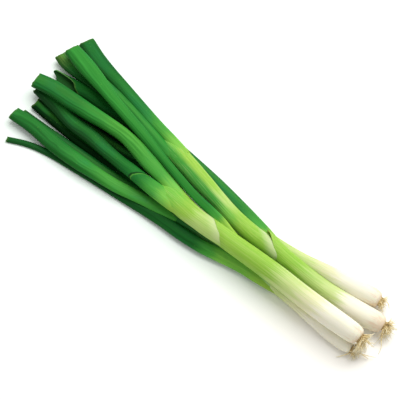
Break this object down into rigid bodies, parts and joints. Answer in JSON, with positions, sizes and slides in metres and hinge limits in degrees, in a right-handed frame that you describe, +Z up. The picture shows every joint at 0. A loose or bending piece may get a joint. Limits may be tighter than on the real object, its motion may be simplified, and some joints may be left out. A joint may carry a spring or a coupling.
{
  "type": "spring onion bunch",
  "caption": "Loose bunch of spring onions lying on a surface: slim white bulbs with trimmed roots, pale green stems and long hollow green leaves cut off at the ends",
  "frame": {"origin": "on the surface that the bunch lies on, under the middle of its box", "axes": "+X along the bunch towards the bulbs, +Y towards its far side, +Z up"},
  "size_m": [0.4231, 0.138, 0.0303],
  "materials": {
    "bulb_and_stem": "smooth moist onion skin, white at the bulb and yellow-green towards the leaves",
    "leaf": "fresh waxy green leaf with fine lengthwise veins",
    "roots": "dry tan root fibres"
  },
  "bodies": {
    "root": {"onion_a_shank": "bulb_and_stem", "onion_b_shank": "bulb_and_stem", "onion_c_shank": "bulb_and_stem", "onion_d_shank": "bulb_and_stem", "onion_a_leaf_1": "leaf", "onion_a_leaf_2": "leaf", "onion_a_leaf_3": "leaf", "onion_b_leaf_1": "leaf", "onion_b_leaf_2": "leaf", "onion_b_leaf_3": "leaf", "onion_c_leaf_1": "leaf", "onion_c_leaf_2": "leaf", "onion_c_leaf_3": "leaf", "onion_d_leaf_1": "leaf", "onion_d_leaf_2": "leaf", "onion_d_leaf_3": "leaf", "onion_d_leaf_4": "leaf", "onion_a_roots": "roots", "onion_b_roots": "roots", "onion_c_roots": "roots", "onion_d_roots": "roots"}
  },
  "joints": []
}
